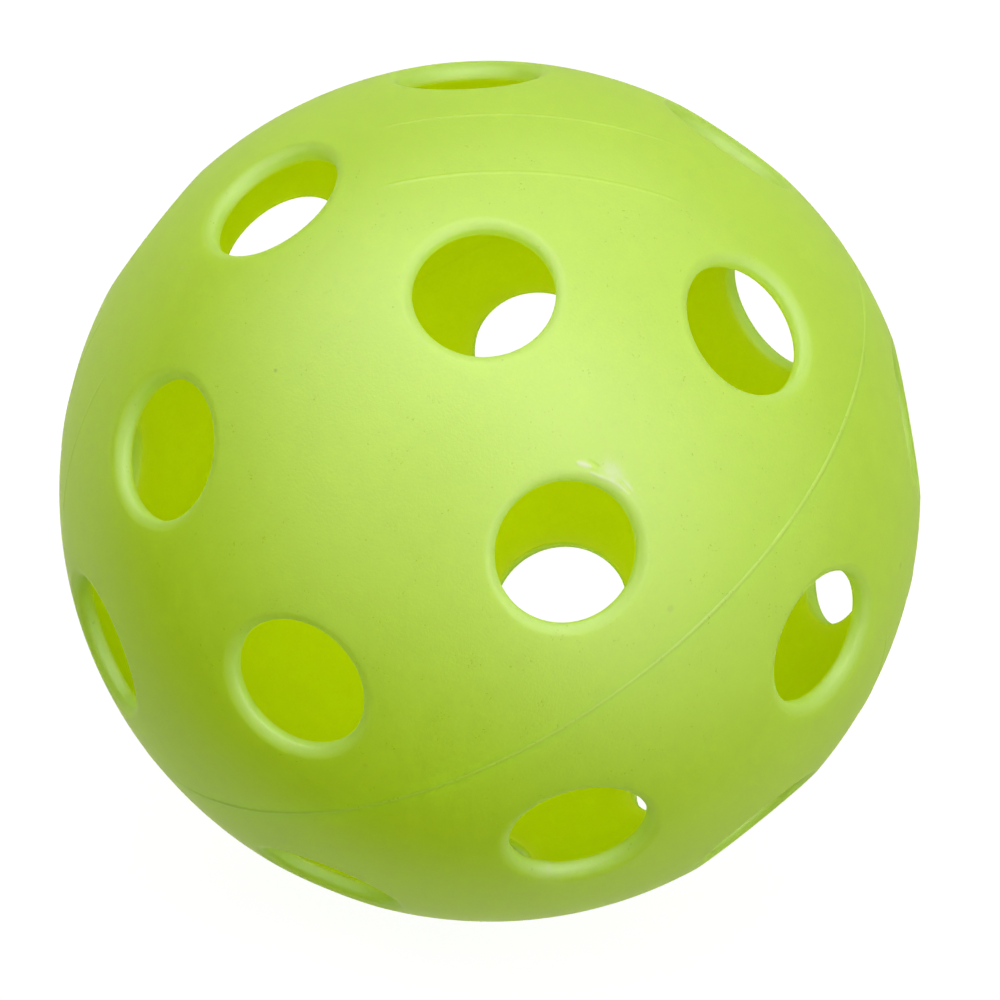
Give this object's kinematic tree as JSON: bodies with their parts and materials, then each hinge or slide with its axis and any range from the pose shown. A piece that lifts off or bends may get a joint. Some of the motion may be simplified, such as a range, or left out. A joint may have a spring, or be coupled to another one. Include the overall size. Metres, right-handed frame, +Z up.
{
  "type": "perforated practice ball",
  "caption": "Hollow perforated plastic practice ball of softball size, two moulded half shells welded along a seam, with round air holes that slow its flight.",
  "frame": {"origin": "centre of the ball", "axes": "+Z up as the ball stands, on the rim of a hole of the lower inner ring; the axis through the two polar holes leans 37.3 degrees from +Z towards -Y, and the weld seam lies square to that axis; +X lies in the seam plane"},
  "size_m": [0.0972, 0.097, 0.0961],
  "materials": {
    "shell_plastic": "satin lime-green polyethylene, slightly translucent, fine blasted mould grain",
    "weld_plastic": "re-melted lime-green polyethylene, glossier and paler than the shell"
  },
  "bodies": {
    "root": {"upper_half_shell": "shell_plastic", "lower_half_shell": "shell_plastic", "weld_bead": "weld_plastic"}
  },
  "joints": []
}
